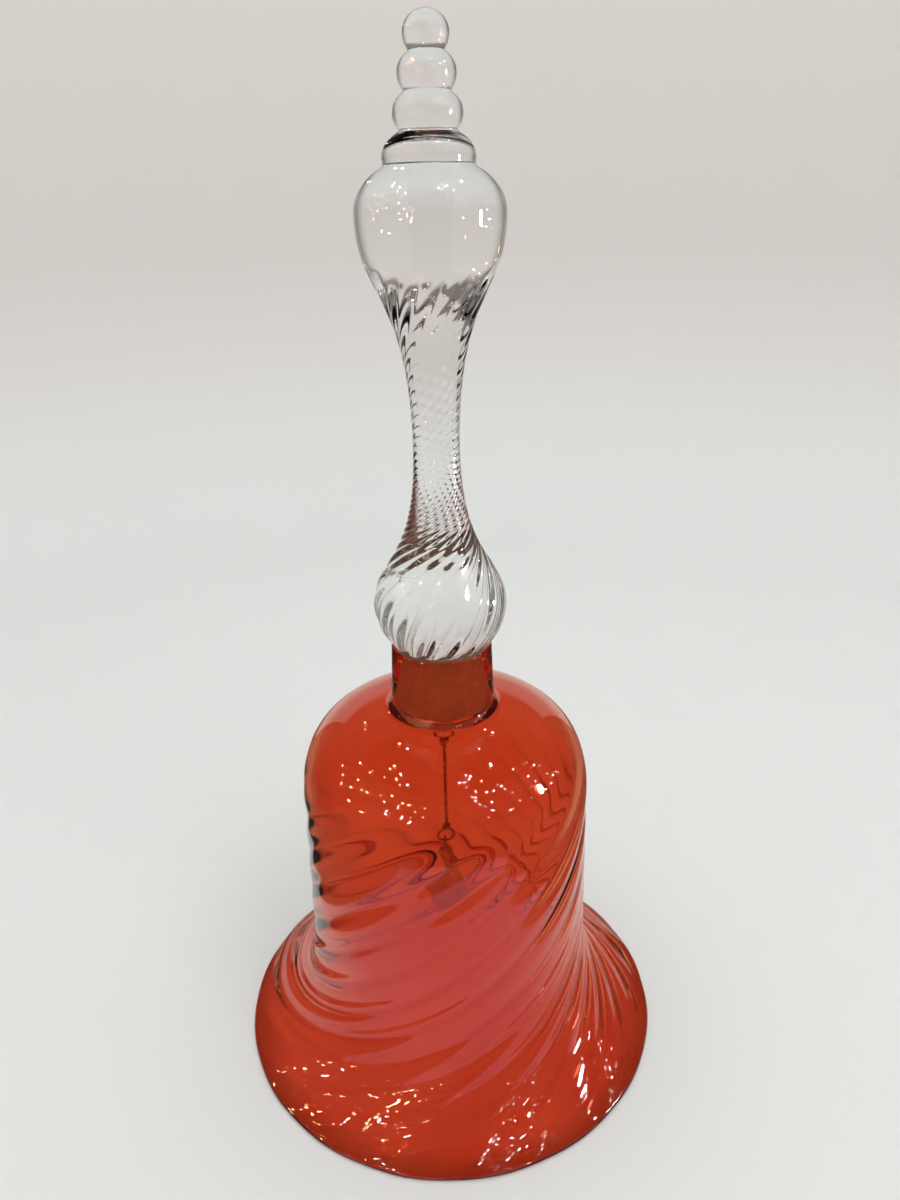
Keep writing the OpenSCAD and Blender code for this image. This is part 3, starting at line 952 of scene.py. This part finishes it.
class GLASSBELL_OT_stage(bpy.types.Operator):
    """Builds the floor and backdrop, the soft light, the small lamps and the camera"""

    bl_idname = "glassbell.stage"
    bl_label = "Stage"

    def execute(self, context):
        s = context.scene.glassbell_stage
        under = -0.05 * MM
        outline = [Vector((0, under)), Vector((0.2, under))]
        outline += arc(Vector((s.radius - s.sweep, s.sweep + under)), s.sweep, -90, 0, 20)
        outline.append(Vector((s.radius, s.height)))
        none = [0.0] * len(outline)
        bm = bmesh.new()
        lathe(bm, chain(bm, outline, False, none, none, normals(outline, False)), 96)
        mesh = bpy.data.meshes.new("studio_floor")
        bm.to_mesh(mesh)
        bm.free()
        mesh.shade_smooth()
        mesh.materials.append(stage_material(s))
        floor = bpy.data.objects.new("studio_floor", mesh)
        context.scene.collection.objects.link(floor)

        world = bpy.data.worlds.new("studio_dome")
        context.scene.world = world
        world.use_nodes = True
        tree = world.node_tree
        back = tree.nodes["Background"]
        rays = node(tree, "ShaderNodeLightPath")
        soft = maths(tree, "GREATER_THAN", rays.outputs["Diffuse Depth"], 0.5)
        soft = maths(tree, "MAXIMUM", soft, rays.outputs["Is Diffuse Ray"])
        mix = node(tree, "ShaderNodeMix", data_type="RGBA")
        tree.links.new(soft, mix.inputs["Factor"])
        mix.inputs[6].default_value = (0.02, 0.014, 0.01, 1)
        mix.inputs[7].default_value = (s.dome, s.dome * 0.985, s.dome * 0.965, 1)
        tree.links.new(mix.outputs[2], back.inputs["Color"])

        key = bpy.data.lights.new("key", "AREA")
        key.shape = "DISK"
        key.size = 0.45
        key.energy = s.key
        key.color = (1.0, 0.97, 0.93)
        lamp = bpy.data.objects.new("key", key)
        context.scene.collection.objects.link(lamp)
        place = KEY_PLACE
        lamp.location = place
        lamp.rotation_euler = (Vector((0, 0, 0.12)) - place).to_track_quat("-Z", "Y").to_euler()
        lamp.visible_camera = False
        lamp.visible_glossy = False
        lamp.visible_transmission = False

        source = random.Random(s.seed)
        warm = lamp_material("warm_lamp", (1.0, 0.62, 0.3), s.lamp_power)
        white = lamp_material("white_lamp", (1.0, 0.95, 0.88), s.lamp_power)
        cool = lamp_material("cool_lamp", (0.8, 0.88, 1.0), s.lamp_power)
        for i in range(s.lamps):
            lamp_disc("lamp_left_%02d" % i, source.uniform(-165, -74), source.uniform(3, 66),
                      LAMP_DISTANCE, source.uniform(0.004, 0.01), 1.0, warm if i % 4 else white)
            lamp_disc("lamp_right_%02d" % i, source.uniform(76, 160), source.uniform(8, 78),
                      LAMP_DISTANCE, source.uniform(0.003, 0.008), 1.0,
                      cool if i % 5 == 0 else white)
        for i in range(s.lamps // 3):
            lamp_disc("lamp_back_%02d" % i, source.uniform(-38, 38), source.uniform(32, 66),
                      LAMP_DISTANCE, source.uniform(0.003, 0.007), 1.0, white if i % 2 else warm)
        lamp_disc("window", 102, 14, LAMP_DISTANCE, 0.03, 2.6, cool)

        data = bpy.data.cameras.new("camera")
        data.lens = 27.0
        data.sensor_width = 36.0
        data.clip_start = 0.01
        data.clip_end = 10.0
        camera = bpy.data.objects.new("camera", data)
        context.scene.collection.objects.link(camera)
        camera.matrix_world = (Matrix.Translation(CAMERA_PLACE)
                               @ Matrix.Rotation(-CAMERA_YAW, 4, "Z")
                               @ Matrix.Rotation(math.pi / 2 - CAMERA_PITCH, 4, "X")
                               @ Matrix.Rotation(CAMERA_ROLL, 4, "Z"))
        context.scene.camera = camera
        context.scene.view_settings.view_transform = "Standard"
        return {"FINISHED"}


class GLASSBELL_PT_panel(bpy.types.Panel):
    """The bell's sizes, colours and builders"""

    bl_idname = "GLASSBELL_PT_panel"
    bl_label = "Glass Bell"
    bl_space_type = "VIEW_3D"
    bl_region_type = "UI"
    bl_category = "Glass Bell"

    def draw(self, context):
        layout = self.layout
        for label, group, builders in SECTIONS:
            box = layout.box()
            box.label(text=label)
            values = getattr(context.scene, group)
            for name in values.__annotations__:
                box.prop(values, name)
            for builder in builders:
                box.operator(builder.bl_idname)


SECTIONS = (
    ("Shade", "glassbell_shade", (GLASSBELL_OT_shade,)),
    ("Handle", "glassbell_handle", (GLASSBELL_OT_handle, GLASSBELL_OT_plaster)),
    ("Clapper", "glassbell_clapper",
     (GLASSBELL_OT_links, GLASSBELL_OT_hanging_wire, GLASSBELL_OT_drop)),
    ("Finishes", "glassbell_finishes", ()),
    ("Stage", "glassbell_stage", (GLASSBELL_OT_stage,)),
)
GROUPS = (
    ("glassbell_shade", ShadeSizes),
    ("glassbell_handle", HandleSizes),
    ("glassbell_clapper", ClapperSizes),
    ("glassbell_finishes", Finishes),
    ("glassbell_stage", StageSizes),
)
OPERATORS = (
    GLASSBELL_OT_stage,
    GLASSBELL_OT_shade,
    GLASSBELL_OT_handle,
    GLASSBELL_OT_plaster,
    GLASSBELL_OT_links,
    GLASSBELL_OT_hanging_wire,
    GLASSBELL_OT_drop,
)


def register():
    """Registers the classes and hangs the sizes on the scene."""
    for name, group in GROUPS:
        bpy.utils.register_class(group)
        setattr(bpy.types.Scene, name, PointerProperty(type=group))
    for operator in OPERATORS:
        bpy.utils.register_class(operator)
    bpy.utils.register_class(GLASSBELL_PT_panel)


def unregister():
    """Takes all of it off again."""
    bpy.utils.unregister_class(GLASSBELL_PT_panel)
    for operator in reversed(OPERATORS):
        bpy.utils.unregister_class(operator)
    for name, group in reversed(GROUPS):
        delattr(bpy.types.Scene, name)
        bpy.utils.unregister_class(group)


def main():
    register()
    for operator in OPERATORS:
        section, name = operator.bl_idname.split(".")
        getattr(getattr(bpy.ops, section), name)()


if __name__ == "__main__":
    main()
